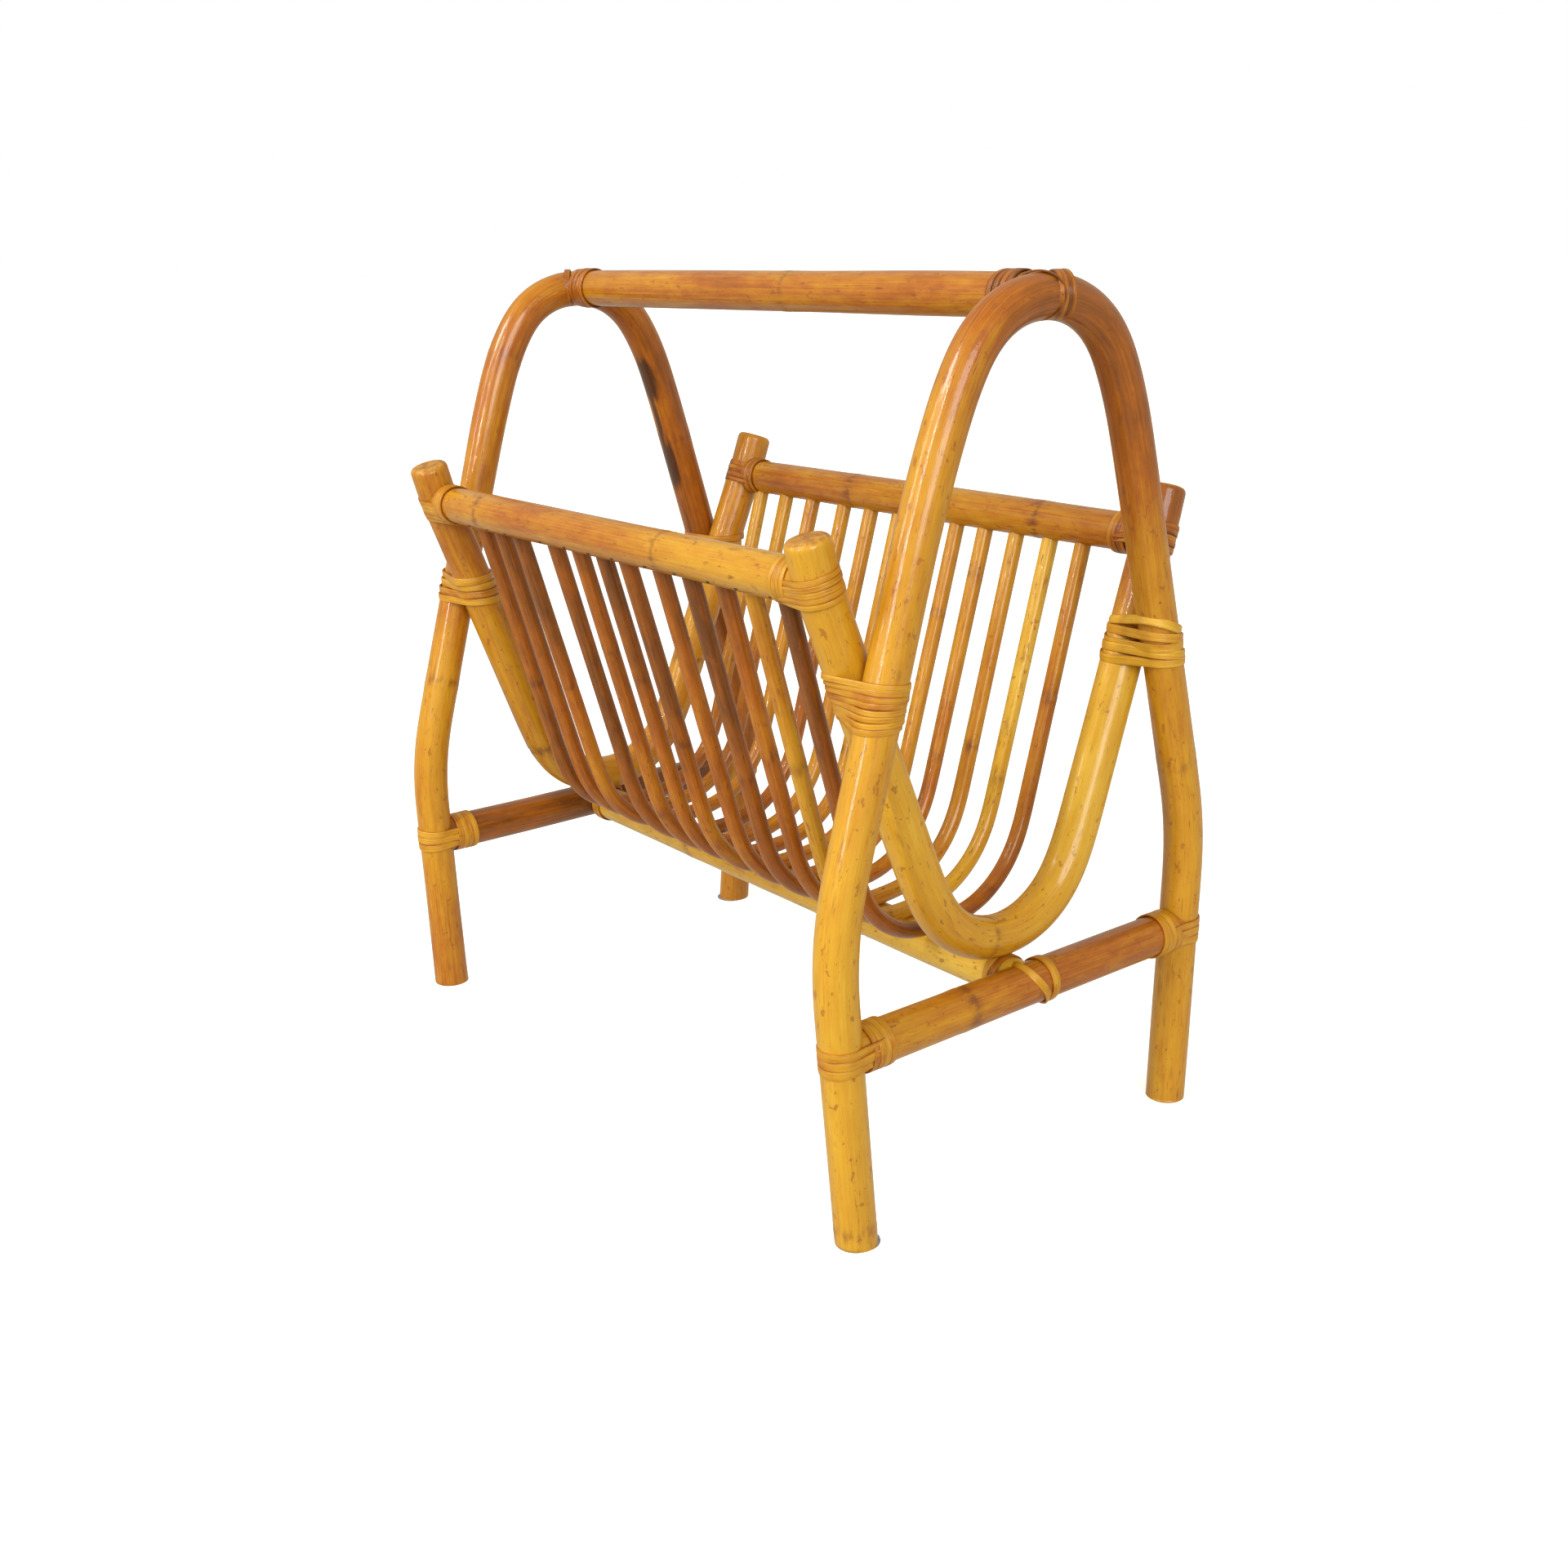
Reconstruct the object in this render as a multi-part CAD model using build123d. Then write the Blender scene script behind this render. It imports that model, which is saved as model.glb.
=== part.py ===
from build123d import *
import math
import os

# Cane magazine rack. Millimetres, +Z up, origin on the floor under the middle of the rack.
# X runs along the handle, near end at +X. -Y is the front rail, +Y the back rail.

# ---- canes ----
HOOP_R = 12.0            # end hoops, handle and top rails
BASKET_R = 12.5          # basket frames and stretchers
SLAT_R = 5.25
TOUCH = 0.1              # air left between canes that only rest on each other

# ---- end hoops: an inverted U cut off flat on the floor, leaning in towards the handle ----
FOOT_X = 228.5
CROWN_X = 224.5
CROWN_Z = 495.5
KNEE_RADIUS = 200.0
SHOULDER_RADIUS = 100.0
BELOW_FLOOR = 6.0        # length trimmed off at the floor to leave a level foot
# Hand-bent canes differ a little: each pair is the front (-Y) limb, then the back (+Y) limb.
HOOPS = {
    "near": {"foot": (129.0, 132.5), "knee": (144.5, 138.5), "knee_z": 180, "shoulder": (83.0, 79.0),
             "shoulder_z": 397, "crown": (45.0, 50.0), "crown_radius": 64.0},
    "far": {"foot": (135.0, 130.0), "knee": (141.0, 146.5), "knee_z": 172, "shoulder": (70.0, 70.5),
            "shoulder_z": 426, "crown": (42.0, 44.0), "crown_radius": 60.0},
}

# ---- basket frames: a U whose arms lean out, inside each hoop ----
CONTACT_Z = 298.0        # height at which a basket frame rests against its hoop
BASKET_LEAN = 0.041      # x lost per mm of height
BASKET_CORNER_Y = 44.0
BASKET_CORNER_RADIUS = 63.0
RAIL_Y = 129.3
STUB_KNEE_Z = 367.0      # the cut ends above the rails turn a little from the arms
STUB_Z = 383.0
STUB_RADIUS = 50.0
BASKETS = {"near": {"stub": (134.0, 139.0)}, "far": {"stub": (139.5, 139.0)}}

# ---- rails, stretchers and handle ----
RAIL_Z = {"front": 360.0, "back": 356.0}
STRETCHER_Z = 115.5
HANDLE_Z = 495.5
END_BITE = 5.0           # a coped end stops this short of the centre line it butts on

# ---- slats: thin U canes from rail to rail, hand-spaced along X ----
SLAT_FRONT_X = (-146, -123, -100, -57, -29, -2, 23, 57, 86, 117, 142, 171)
SLAT_BACK_X = (-175, -145, -114, -79, -50, -21, 7, 36, 62, 90, 119, 146)
SLAT_CORNER_Y = 60.0
SLAT_CORNER_RADIUS = 65.0
SLAT_SOCKET = 7.0        # depth of each slat end in its rail

# ---- lashings: cane strip bound round the joints ----
STRIP = 1.4              # thickness of the bound layers
POST_BAND = 12.0         # width of the band on the cane that runs through
BRANCH_BAND = 9.5        # reach of the band on the cane that ends in the joint
TIGHT_BAND = 5.5         # the same where a slat stands close to the joint
CROSSING_BAND = 26.0     # height of the binding where an arm crosses a limb
HANDLE_BAND_SHIFT = 13.0  # the band on a crown sits beside the handle

# ---- fasteners ----
# shank radius, head radius, head thickness, length
NAIL = (1.3, 2.6, 1.0, 42.0)
SLAT_NAIL = (0.9, 1.8, 0.6, 22.0)
BRAD = (0.7, 1.2, 0.6, 15.0)
NAIL_SINK = 0.3          # every head is set this far below the cane's surface
DOWEL_R = 4.0
DOWEL_LENGTH = 26.0

END_SIGN = {"near": 1, "far": -1}
SIDE_SIGN = {"front": -1, "back": 1}
SIDES = ("front", "back")


# ---------------------------------------------------------------- centre lines

def hoop_x(end, z):
    """X of a hoop's leaning plane at height z."""
    return END_SIGN[end] * (FOOT_X - (FOOT_X - CROWN_X) * z / CROWN_Z)


def basket_x(end, z):
    """X of a basket frame's leaning plane, which touches the hoop where the canes cross."""
    at_contact = abs(hoop_x(end, CONTACT_Z)) - HOOP_R - BASKET_R - TOUCH
    return END_SIGN[end] * (at_contact - BASKET_LEAN * (z - CONTACT_Z))


def hoop_path(end):
    """Centre line from the front foot, over the crown, to the back foot."""
    bend = HOOPS[end]
    limbs = []
    for i, side in enumerate(SIDES):
        slope = (bend["knee"][i] - bend["foot"][i]) / bend["knee_z"]
        outline = [
            (bend["foot"][i] - slope * BELOW_FLOOR, -BELOW_FLOOR),
            (bend["knee"][i], bend["knee_z"]),
            (bend["shoulder"][i], bend["shoulder_z"]),
            (bend["crown"][i], CROWN_Z),
        ]
        limbs.append([(hoop_x(end, z), SIDE_SIGN[side] * y, z) for y, z in outline])
    radii = [KNEE_RADIUS, SHOULDER_RADIUS, bend["crown_radius"]]
    return FilletPolyline(*limbs[0], *reversed(limbs[1]), radius=radii + radii[::-1])


def basket_bottom_z():
    """Height of a basket frame's lowest stretch, which rests on the centre stretcher."""
    return STRETCHER_Z + 2 * BASKET_R + TOUCH


def arm_y(z):
    """Distance of a straight arm from the middle of the rack at height z."""
    low = basket_bottom_z()
    return BASKET_CORNER_Y + (RAIL_Y - BASKET_CORNER_Y) * (z - low) / (RAIL_Z["front"] - low)


def arm_direction(side):
    """Unit vector up a basket arm, seen from the end of the rack."""
    run = arm_y(RAIL_Z["front"]) - arm_y(basket_bottom_z())
    rise = RAIL_Z["front"] - basket_bottom_z()
    return Vector(0, SIDE_SIGN[side] * run, rise).normalized()


def limb_y(end, side, z):
    """Distance of a hoop's limb from the middle at height z, between its knee and its shoulder
    or below the knee."""
    bend = HOOPS[end]
    i = SIDES.index(side)
    knee, knee_z = bend["knee"][i], bend["knee_z"]
    if z < knee_z:
        return bend["foot"][i] + (knee - bend["foot"][i]) * z / knee_z
    return knee + (bend["shoulder"][i] - knee) * (z - knee_z) / (bend["shoulder_z"] - knee_z)


def basket_path(end):
    """Centre line from the front stub, round under the basket, to the back stub."""
    limbs = []
    for i, side in enumerate(SIDES):
        outline = [
            (BASKETS[end]["stub"][i], STUB_Z),
            (arm_y(STUB_KNEE_Z), STUB_KNEE_Z),
            (BASKET_CORNER_Y, basket_bottom_z()),
        ]
        limbs.append([(basket_x(end, z), SIDE_SIGN[side] * y, z) for y, z in outline])
    radii = [STUB_RADIUS, BASKET_CORNER_RADIUS]
    return FilletPolyline(*limbs[0], *reversed(limbs[1]), radius=radii + radii[::-1])


def slat_path(number):
    """Centre line from inside the front rail, over the centre stretcher, into the back rail."""
    front_x, back_x = SLAT_FRONT_X[number], SLAT_BACK_X[number]
    bottom_z = STRETCHER_Z + BASKET_R + SLAT_R + TOUCH

    def at(y, z):
        share = (y + RAIL_Y) / (2 * RAIL_Y)
        return (front_x + (back_x - front_x) * share, y, z)

    def socket(side):
        z_rail = RAIL_Z[side]
        reach = HOOP_R - SLAT_SOCKET
        run = RAIL_Y - SLAT_CORNER_Y
        rise = z_rail - bottom_z
        length = math.hypot(run, rise)
        return at(SIDE_SIGN[side] * (RAIL_Y - reach * run / length), z_rail - reach * rise / length)

    corners = [
        socket("front"),
        at(-SLAT_CORNER_Y, bottom_z),
        at(SLAT_CORNER_Y, bottom_z),
        socket("back"),
    ]
    return FilletPolyline(*corners, radius=SLAT_CORNER_RADIUS)


# ---------------------------------------------------------------- solids

def cane(path, radius):
    """A round cane along a path."""
    start = Plane(origin=path @ 0, x_dir=(1, 0, 0), z_dir=path % 0)
    return sweep(start * Circle(radius), path)


def rod(start, end, radius):
    """A straight round bar between two points."""
    line = Vector(*end) - Vector(*start)
    plane = Plane(origin=start, z_dir=line)
    return plane * Cylinder(radius, line.length, align=(Align.CENTER, Align.CENTER, Align.MIN))


def end_hoop(end):
    solid = cane(hoop_path(end), HOOP_R)
    width = 4 * FOOT_X
    under_floor = Pos(0, 0, -2 * BELOW_FLOOR) * Box(width, width, 4 * BELOW_FLOOR)
    return solid - under_floor


def basket_frame(end):
    return cane(basket_path(end), BASKET_R)


def slat(number):
    return cane(slat_path(number), SLAT_R)


def handle_joint(end):
    """Where the handle's centre line meets a hoop's crown."""
    return Vector(hoop_x(end, HANDLE_Z), 0, HANDLE_Z)


def rail_joint(end, side):
    """Where a rail's centre line meets a basket arm."""
    z = RAIL_Z[side]
    return Vector(basket_x(end, z), SIDE_SIGN[side] * arm_y(z), z)


def limb_point(end, side, z):
    """The point on a hoop's limb at height z."""
    return Vector(hoop_x(end, z), SIDE_SIGN[side] * limb_y(end, side, z), z)


def stretcher_joint(end, side):
    """Where a cross stretcher's centre line meets a hoop's limb."""
    return limb_point(end, side, STRETCHER_Z)


def centre_joint(end):
    """Where the centre stretcher's centre line meets a cross stretcher."""
    return Vector(hoop_x(end, STRETCHER_Z), 0, STRETCHER_Z)


def crossing_z(end, side):
    """Height at which a basket arm passes behind a hoop's limb. Both are straight there."""
    def gap(z):
        return limb_y(end, side, z) - arm_y(z)

    low, high = HOOPS[end]["knee_z"], RAIL_Z[side]
    return low + (high - low) * gap(low) / (gap(low) - gap(high))


def between(start, end, radius):
    """A cane laid between two joints, its ends stopping short of their centre lines."""
    bite = (end - start).normalized() * END_BITE
    return rod(start + bite, end - bite, radius)


# ---------------------------------------------------------------- lashings

def tee_lashing(joint, post, post_r, branch, branch_r, reach, shift=0.0):
    """Outer shape of the strips round a cane that runs through and round the end of the one
    that butts on it. The band on the through cane sits shift along it from the joint."""
    half_band = post.normalized() * (POST_BAND / 2)
    middle = joint + post.normalized() * shift
    on_post = rod(middle - half_band, middle + half_band, post_r + STRIP)
    on_branch = rod(joint, joint + branch.normalized() * (post_r + reach), branch_r + STRIP)
    return on_post + on_branch


def crossing_lashing(end, side):
    """Outer shape of the strips that bind an arm to the limb it passes, as they turn with both."""
    middle_z = crossing_z(end, side)
    radius = BASKET_R / arm_direction(side).Z + STRIP
    sections = []
    for z in (middle_z - CROSSING_BAND / 2, middle_z, middle_z + CROSSING_BAND / 2):
        limb = limb_point(end, side, z)
        arm = Vector(basket_x(end, z), SIDE_SIGN[side] * arm_y(z), z)
        plane = Plane(origin=(limb + arm) / 2, x_dir=arm - limb, z_dir=(0, 0, 1))
        sections.append(plane * SlotCenterToCenter((arm - limb).length, 2 * radius))
    return loft(sections, ruled=True)


# ---------------------------------------------------------------- fasteners

def nail(point, inward, kind=NAIL):
    """A round nail driven in from a cane's surface, its head sunk just below it, and the hole
    that it fills, with the recess over the head."""
    shank_r, head_r, head, length = kind
    top = point + inward * NAIL_SINK
    body = rod(top, top + inward * head, head_r) + rod(top, point + inward * length, shank_r)
    recess = rod(point - inward, top, head_r)
    return body, body + recess


def rail_nail(end, side):
    inward = Vector(-END_SIGN[end], 0, 0)
    return nail(rail_joint(end, side) - inward * BASKET_R, inward)


def crossing_nail(end, side):
    z = crossing_z(end, side)
    inward = Vector(-END_SIGN[end], 0, 0)
    point = Vector(hoop_x(end, z), SIDE_SIGN[side] * arm_y(z), z)
    return nail(point - inward * HOOP_R, inward)


def stretcher_nail(end, side):
    inward = Vector(0, -SIDE_SIGN[side], 0)
    return nail(stretcher_joint(end, side) - inward * HOOP_R, inward)


def centre_nail(end):
    inward = Vector(-END_SIGN[end], 0, 0)
    return nail(centre_joint(end) - inward * BASKET_R, inward)


def slat_nail(number):
    x = (SLAT_FRONT_X[number] + SLAT_BACK_X[number]) / 2
    top = Vector(x, 0, STRETCHER_Z + BASKET_R + 2 * SLAT_R + TOUCH)
    return nail(top, Vector(0, 0, -1), SLAT_NAIL)


def rail_brad(number, side):
    """A brad driven level through the rail's outer face and the slat end in its socket."""
    x = SLAT_FRONT_X[number] if side == "front" else SLAT_BACK_X[number]
    below = HOOP_R - SLAT_SOCKET / 2
    half_width = math.sqrt(HOOP_R ** 2 - below ** 2)
    z = RAIL_Z[side] - below
    inward = Vector(0, -SIDE_SIGN[side], 0)
    point = Vector(x, SIDE_SIGN[side] * (arm_y(RAIL_Z[side]) + half_width), z)
    return nail(point, inward, BRAD)


def handle_dowel(end):
    """A dowel hidden in blind holes in the crown and the handle's end."""
    along = Vector(-END_SIGN[end], 0, 0)
    start = handle_joint(end) - along * (HOOP_R / 2)
    return rod(start, start + along * DOWEL_LENGTH, DOWEL_R)


# ---------------------------------------------------------------- assembly

def build():
    ends, numbers = tuple(END_SIGN), range(len(SLAT_FRONT_X))
    parts = {}
    hoops = {end: end_hoop(end) for end in ends}
    baskets = {end: basket_frame(end) for end in ends}
    slats = [slat(number) for number in numbers]

    def rail(side):
        solid = between(rail_joint("far", side), rail_joint("near", side), HOOP_R)
        return solid - baskets["far"] - baskets["near"]

    rails = {side: rail(side) for side in SIDES}
    crosses = {end: between(stretcher_joint(end, "front"), stretcher_joint(end, "back"), BASKET_R)
               - hoops[end] for end in ends}
    centre = between(centre_joint("far"), centre_joint("near"), BASKET_R) - list(crosses.values())
    handle = between(handle_joint("far"), handle_joint("near"), HOOP_R) - list(hoops.values())

    # fasteners, and the holes that they fill
    dowels = {end: handle_dowel(end) for end in ends}
    corners = [(end, side) for end in ends for side in SIDES]
    rail_nails = {corner: rail_nail(*corner) for corner in corners}
    crossing_nails = {corner: crossing_nail(*corner) for corner in corners}
    stretcher_nails = {corner: stretcher_nail(*corner) for corner in corners}
    centre_nails = {end: centre_nail(end) for end in ends}
    slat_nails = [slat_nail(number) for number in numbers]
    brads = {(number, side): rail_brad(number, side) for number in numbers for side in SIDES}

    def holes(nails, keys):
        return [nails[key][1] for key in keys]

    for end in ends:
        here = [(end, side) for side in SIDES]
        cuts = [dowels[end]] + holes(crossing_nails, here) + holes(stretcher_nails, here)
        parts[f"end_hoop_{end}"] = hoops[end] - cuts
        parts[f"basket_frame_{end}"] = baskets[end] - (
            holes(crossing_nails, here) + holes(rail_nails, here))
        parts[f"cross_stretcher_{end}"] = crosses[end] - (
            holes(stretcher_nails, here) + [centre_nails[end][1]])
    for side in SIDES:
        here = [(end, side) for end in ends]
        cuts = holes(rail_nails, here) + holes(brads, [(number, side) for number in numbers])
        parts[f"{side}_rail"] = rails[side] - slats - cuts
    parts["centre_stretcher"] = centre - (
        holes(centre_nails, ends) + [hole for _, hole in slat_nails])
    parts["handle_bar"] = handle - list(dowels.values())
    for number in numbers:
        cuts = [slat_nails[number][1]] + [brads[number, side][1] for side in SIDES]
        parts[f"slat_{number + 1:02d}"] = slats[number] - cuts

    # lashings, cut to the canes that they bind
    for end in ends:
        out = Vector(END_SIGN[end], 0, 0)
        across = Vector(0, 1, 0)
        parts[f"lashing_handle_{end}"] = tee_lashing(
            handle_joint(end), across, HOOP_R, -out, HOOP_R, BRANCH_BAND, HANDLE_BAND_SHIFT
        ) - [hoops[end], handle]
        parts[f"lashing_centre_{end}"] = tee_lashing(
            centre_joint(end), across, BASKET_R, -out, BASKET_R, BRANCH_BAND
        ) - [crosses[end], centre, baskets[end]]
        for side in SIDES:
            inward = Vector(0, -SIDE_SIGN[side], 0)
            reach = TIGHT_BAND if (end, side) == ("far", "back") else BRANCH_BAND
            parts[f"lashing_rail_{end}_{side}"] = tee_lashing(
                rail_joint(end, side), arm_direction(side), BASKET_R, -out, HOOP_R, reach
            ) - [baskets[end], rails[side]]
            knee = limb_point(end, side, HOOPS[end]["knee_z"])
            limb = knee - stretcher_joint(end, side)
            parts[f"lashing_leg_{end}_{side}"] = tee_lashing(
                stretcher_joint(end, side), limb, HOOP_R, inward, BASKET_R, BRANCH_BAND
            ) - [hoops[end], crosses[end]]
            parts[f"lashing_crossing_{end}_{side}"] = crossing_lashing(end, side) - [
                hoops[end], baskets[end], crossing_nails[end, side][0]]

    # identical fasteners, one node for each kind
    groups = {
        "handle_dowels": list(dowels.values()),
        "rail_nails": [body for body, _ in rail_nails.values()],
        "crossing_nails": [body for body, _ in crossing_nails.values()],
        "stretcher_nails": [body for body, _ in stretcher_nails.values()],
        "centre_nails": [body for body, _ in centre_nails.values()],
        "slat_nails": [body for body, _ in slat_nails],
        "slat_brads": [body for body, _ in brads.values()],
    }
    for name, bodies in groups.items():
        parts[name] = Compound(children=[body.solids()[0] for body in bodies])
    return parts


def write(parts):
    os.makedirs("parts", exist_ok=True)
    for name, shape in parts.items():
        solids = shape.solids()
        whole = solids[0] if len(solids) == 1 else Compound(children=solids)
        whole.label = name
        export_step(whole, f"parts/{name}.step")


write(build())
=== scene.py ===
"""Looks of the cane magazine rack: lacquered rattan canes, peeled-cane lashings and small nails.

Metres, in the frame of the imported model: +Z up, X along the handle (near end at +X), -Y the front.
Bent canes are traced from their nodes of the frame and straight ones run between their joints; all
are rebuilt with growth rings and fibre detail.
"""
import math
import zlib

import bpy
import numpy as np
from mathutils import Matrix, Vector


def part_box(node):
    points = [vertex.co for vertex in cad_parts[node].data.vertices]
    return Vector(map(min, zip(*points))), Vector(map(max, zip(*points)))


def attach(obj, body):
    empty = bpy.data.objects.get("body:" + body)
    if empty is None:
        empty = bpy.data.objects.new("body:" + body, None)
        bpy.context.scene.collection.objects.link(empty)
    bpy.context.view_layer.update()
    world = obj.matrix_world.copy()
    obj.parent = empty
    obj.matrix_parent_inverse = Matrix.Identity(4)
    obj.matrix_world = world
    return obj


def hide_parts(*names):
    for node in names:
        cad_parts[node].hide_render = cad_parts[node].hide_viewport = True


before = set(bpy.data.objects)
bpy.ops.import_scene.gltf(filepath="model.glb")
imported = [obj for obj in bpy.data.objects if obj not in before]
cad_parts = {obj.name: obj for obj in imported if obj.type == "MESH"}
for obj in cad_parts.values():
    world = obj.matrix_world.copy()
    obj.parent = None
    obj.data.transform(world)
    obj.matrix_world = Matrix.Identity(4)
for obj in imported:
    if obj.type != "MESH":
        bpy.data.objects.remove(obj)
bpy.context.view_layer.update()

MM = 0.001
X_AXIS = np.array([1.0, 0.0, 0.0])
Y_AXIS = np.array([0.0, 1.0, 0.0])
Z_AXIS = np.array([0.0, 0.0, 1.0])
ENDS = {"near": 1, "far": -1}
SIDES = {"front": -1, "back": 1}

RING_SPACING = 2.5 * MM     # between the rings of a cane's mesh
CANE_SIDES = 40             # points round a cane, and round a slat
SLAT_SIDES = 22
END_ROUNDING = 3.4 * MM     # rounded edge of a sawn cane end
END_MARGIN = 20 * MM        # no growth ring nearer to a cane's end
SWELLING = 0.03             # height of a growth ring, and depth of its groove, in cane radii
GROOVE_DEPTH = 0.035
GROOVE_SHIFT = 1.2 * MM     # a growth ring's groove sits just past its swelling
RING_SLANT = (0.4 * MM, 1.4 * MM)       # least and most that a ring leans along its cane
STRIP_THICK = 0.75 * MM
STRIP_SPACING = 1.6 * MM    # between the rings of a strip's mesh
LOOP_TURNS = 240            # directions tried round a strip's loop
BRANCH_REACH = 5 * MM       # how far a strip round a post reaches past it along the branch
HANDLE_BAND = 6.5 * MM      # from the handle's middle to the first strip round the crown
BAND_STEP = 2.5 * MM        # between the strips of that band
SLAT_R = 5.25 * MM

# A bent cane is cut by half-planes that turn round a hub at this height, from this many degrees
# past level at the front to as many at the back.
HOOP_HUB = (0.12, 38)
BASKET_HUB = (0.33, 18)
SLAT_HUB = (0.345, 2)
CUTS = 181
SMOOTHING = 6               # points to each side over which a traced line is averaged


# ---------------------------------------------------------------- small helpers

def unit(v):
    return v / np.linalg.norm(v)


def seeded(name):
    """A random generator that gives the same numbers for the same name on every run."""
    return np.random.default_rng(zlib.crc32(name.encode()))


def smooth_step(t):
    t = np.clip(t, 0, 1)
    return t * t * (3 - 2 * t)


def wander(rng, positions, wavelength, size):
    """A smooth random curve over positions, within about plus or minus size."""
    knots = np.arange(positions[0] - 2 * wavelength, positions[-1] + 3 * wavelength, wavelength)
    values = rng.uniform(-size, size, len(knots))
    place = (positions - knots[0]) / wavelength
    i = place.astype(int)
    share = smooth_step(place - i)
    return values[i] * (1 - share) + values[i + 1] * share


def srgb(red, green, blue):
    """A linear colour from 0-255 display values."""
    def linear(c):
        c /= 255
        return c / 12.92 if c <= 0.04045 else ((c + 0.055) / 1.055) ** 2.4
    return (linear(red), linear(green), linear(blue), 1.0)


# ---------------------------------------------------------------- centre lines

def node_mesh(node):
    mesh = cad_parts[node].data
    points = np.array([v.co for v in mesh.vertices], float)
    edges = np.array([e.vertices for e in mesh.edges], int)
    return points, edges


def cut_centre(points, edges, hub, out):
    """Middle of the section where the half-plane from hub along out, level along X, cuts a cane."""
    across = np.cross(out, X_AXIS)
    side = (points - hub) @ across
    a, b = edges[side[edges[:, 0]] * side[edges[:, 1]] < 0].T
    share = side[a] / (side[a] - side[b])
    hits = points[a] + share[:, None] * (points[b] - points[a])
    hits = hits[(hits - hub) @ out > 0]
    reach = (hits - hub) @ out
    middle = hub + out * (reach.min() + reach.max()) / 2
    middle[0] = (hits[:, 0].min() + hits[:, 0].max()) / 2
    return middle


def distances(line):
    """How far along the line each of its points is."""
    return np.concatenate([[0], np.cumsum(np.linalg.norm(np.diff(line, axis=0), axis=1))])


def even(line):
    """The same line with evenly spaced points."""
    along = distances(line)
    count = max(2, int(round(along[-1] / RING_SPACING)) + 1)
    places = np.linspace(0, along[-1], count)
    return np.stack([np.interp(places, along, line[:, k]) for k in range(3)], axis=1)


def smoothed(line, reach):
    """The line with its facets averaged away over reach points to each side."""
    weights = np.cos(np.linspace(-math.pi / 2, math.pi / 2, 2 * reach + 3))[1:-1]
    weights /= weights.sum()
    before = line[0] + (line[0] - line[1]) * np.arange(reach, 0, -1)[:, None]
    after = line[-1] + (line[-1] - line[-2]) * np.arange(1, reach + 1)[:, None]
    padded = np.concatenate([before, line, after])
    return np.stack([np.convolve(padded[:, k], weights, "valid") for k in range(3)], axis=1)


def traced(node, hub_place, over):
    """Centre line of a U-shaped cane that passes over or under its hub, read off its node from
    the front end to the back end."""
    hub_z, spread = hub_place
    points, edges = node_mesh(node)
    hub = np.array([0.0, 0.0, hub_z])
    rise = 1 if over else -1
    turns = np.radians(np.linspace(-spread, 180 + spread, CUTS))
    line = np.array([
        cut_centre(points, edges, hub, np.array([0.0, -math.cos(t), rise * math.sin(t)]))
        for t in turns
    ])
    line = smoothed(even(line), SMOOTHING)
    ends = []
    for first, second in ((line[0], line[3]), (line[-1], line[-4])):
        direction = unit(first - second)
        ends.append(first + direction * ((points - first) @ direction).max())
    return even(np.concatenate([[ends[0]], line, [ends[1]]]))


def hoop_line(end):
    """Centre line of an end hoop, each foot run on to the floor."""
    line = traced(f"end_hoop_{end}", HOOP_HUB, True)
    for k, neighbour in ((0, 1), (-1, -2)):
        direction = line[k] - line[neighbour]
        line[k] = line[k] - direction * line[k][2] / direction[2]
    return even(line)


def straight(start, end):
    return even(np.array([start, end]))


def box_middle(node):
    low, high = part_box(node)
    return (np.array(low) + np.array(high)) / 2


def half_height(node):
    """Radius of a level cane."""
    low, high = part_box(node)
    return (high.z - low.z) / 2


def at_height(line, side, z):
    """The point and the upward direction of a U-shaped cane's limb at height z."""
    half = np.where(line[:, 1] * SIDES[side] > 0)[0]
    i = half[np.argmin(abs(line[half, 2] - z))]
    direction = unit(line[min(i + 2, len(line) - 1)] - line[max(i - 2, 0)])
    point = line[i] + direction * (z - line[i, 2]) / direction[2]
    return point, direction * math.copysign(1, direction[2])


HOOPS = {end: hoop_line(end) for end in ENDS}
BASKETS = {end: traced(f"basket_frame_{end}", BASKET_HUB, False) for end in ENDS}
HOOP_R = half_height("handle_bar")
BASKET_R = half_height("cross_stretcher_near")
CROSS_Z = box_middle("cross_stretcher_near")[2]
HANDLE_Z = box_middle("handle_bar")[2]
RAIL_Z = {side: box_middle(f"{side}_rail")[2] for side in SIDES}


def rail_joint(end, side):
    return at_height(BASKETS[end], side, RAIL_Z[side])


def leg_joint(end, side):
    return at_height(HOOPS[end], side, CROSS_Z)


def crown(end):
    """The point of a hoop's crown where the handle meets it."""
    line = HOOPS[end]
    upper = line[line[:, 2] > HANDLE_Z / 2]
    middle = upper[np.argmin(abs(upper[:, 1]))]
    return np.array([middle[0], 0.0, HANDLE_Z])


def centre_joint(end):
    return np.array([box_middle(f"cross_stretcher_{end}")[0], 0.0, CROSS_Z])


# ---------------------------------------------------------------- meshes

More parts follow.
